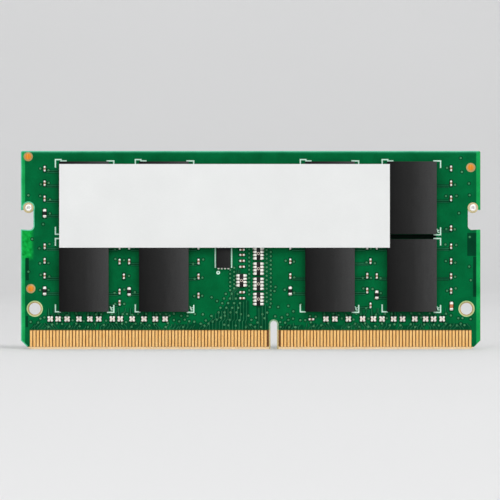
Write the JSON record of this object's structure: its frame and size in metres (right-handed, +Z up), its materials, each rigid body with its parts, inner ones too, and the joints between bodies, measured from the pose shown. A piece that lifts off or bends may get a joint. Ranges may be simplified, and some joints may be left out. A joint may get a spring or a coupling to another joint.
{
  "type": "laptop memory module",
  "caption": "Green laptop memory module with gold edge contacts, black memory chips and a blank white label across the upper row.",
  "frame": {"origin": "on the contact edge, half way along the board and half way through its thickness", "axes": "+X along the board to the right as the chips are seen, +Y out of the plain back, +Z up from the contact edge; the chip side faces -Y"},
  "size_m": [0.0696, 0.0024, 0.03],
  "materials": {
    "laminate": "satin",
    "solder_mask": "gloss",
    "gold": "polished",
    "solder": "satin",
    "chip_mould": "matt",
    "chip_substrate": "satin",
    "silicon": "polished",
    "label": "matt",
    "legend_ink": "matt",
    "capacitor_ceramic": "matt",
    "data_resistor_body": "satin",
    "resistor_body": "satin"
  },
  "bodies": {
    "root": {"address_array_bodies": "resistor_body", "address_array_terminals": "solder", "bulk_capacitor_bodies": "capacitor_ceramic", "bulk_capacitor_terminals": "solder", "capacitor_bodies": "capacitor_ceramic", "capacitor_terminals": "solder", "circuit_board": "laminate", "contacts_back": "gold", "contacts_front": "gold", "data_pair_bodies": "data_resistor_body", "data_pair_terminals": "solder", "fiducial_dots": "gold", "label": "label", "large_resistor_bodies": "resistor_body", "large_resistor_terminals": "solder", "latch_eyelet_left": "solder", "latch_eyelet_right": "solder", "legend_front": "legend_ink", "memory_chip_1_die": "silicon", "memory_chip_1_mould": "chip_mould", "memory_chip_1_solder_balls": "solder", "memory_chip_1_substrate": "chip_substrate", "memory_chip_2_die": "silicon", "memory_chip_2_mould": "chip_mould", "memory_chip_2_solder_balls": "solder", "memory_chip_2_substrate": "chip_substrate", "memory_chip_3_die": "silicon", "memory_chip_3_mould": "chip_mould", "memory_chip_3_solder_balls": "solder", "memory_chip_3_substrate": "chip_substrate", "memory_chip_4_die": "silicon", "memory_chip_4_mould": "chip_mould", "memory_chip_4_solder_balls": "solder", "memory_chip_4_substrate": "chip_substrate", "memory_chip_5_die": "silicon", "memory_chip_5_mould": "chip_mould", "memory_chip_5_solder_balls": "solder", "memory_chip_5_substrate": "chip_substrate", "memory_chip_6_die": "silicon", "memory_chip_6_mould": "chip_mould", "memory_chip_6_solder_balls": "solder", "memory_chip_6_substrate": "chip_substrate", "memory_chip_7_die": "silicon", "memory_chip_7_mould": "chip_mould", "memory_chip_7_solder_balls": "solder", "memory_chip_7_substrate": "chip_substrate", "memory_chip_8_die": "silicon", "memory_chip_8_mould": "chip_mould", "memory_chip_8_solder_balls": "solder", "memory_chip_8_substrate": "chip_substrate", "resistor_bodies": "resistor_body", "resistor_terminals": "solder", "solder_joints": "solder", "solder_mask_back": "solder_mask", "solder_mask_front": "solder_mask", "spd_chip_body": "chip_mould", "spd_chip_pads": "solder"}
  },
  "joints": []
}
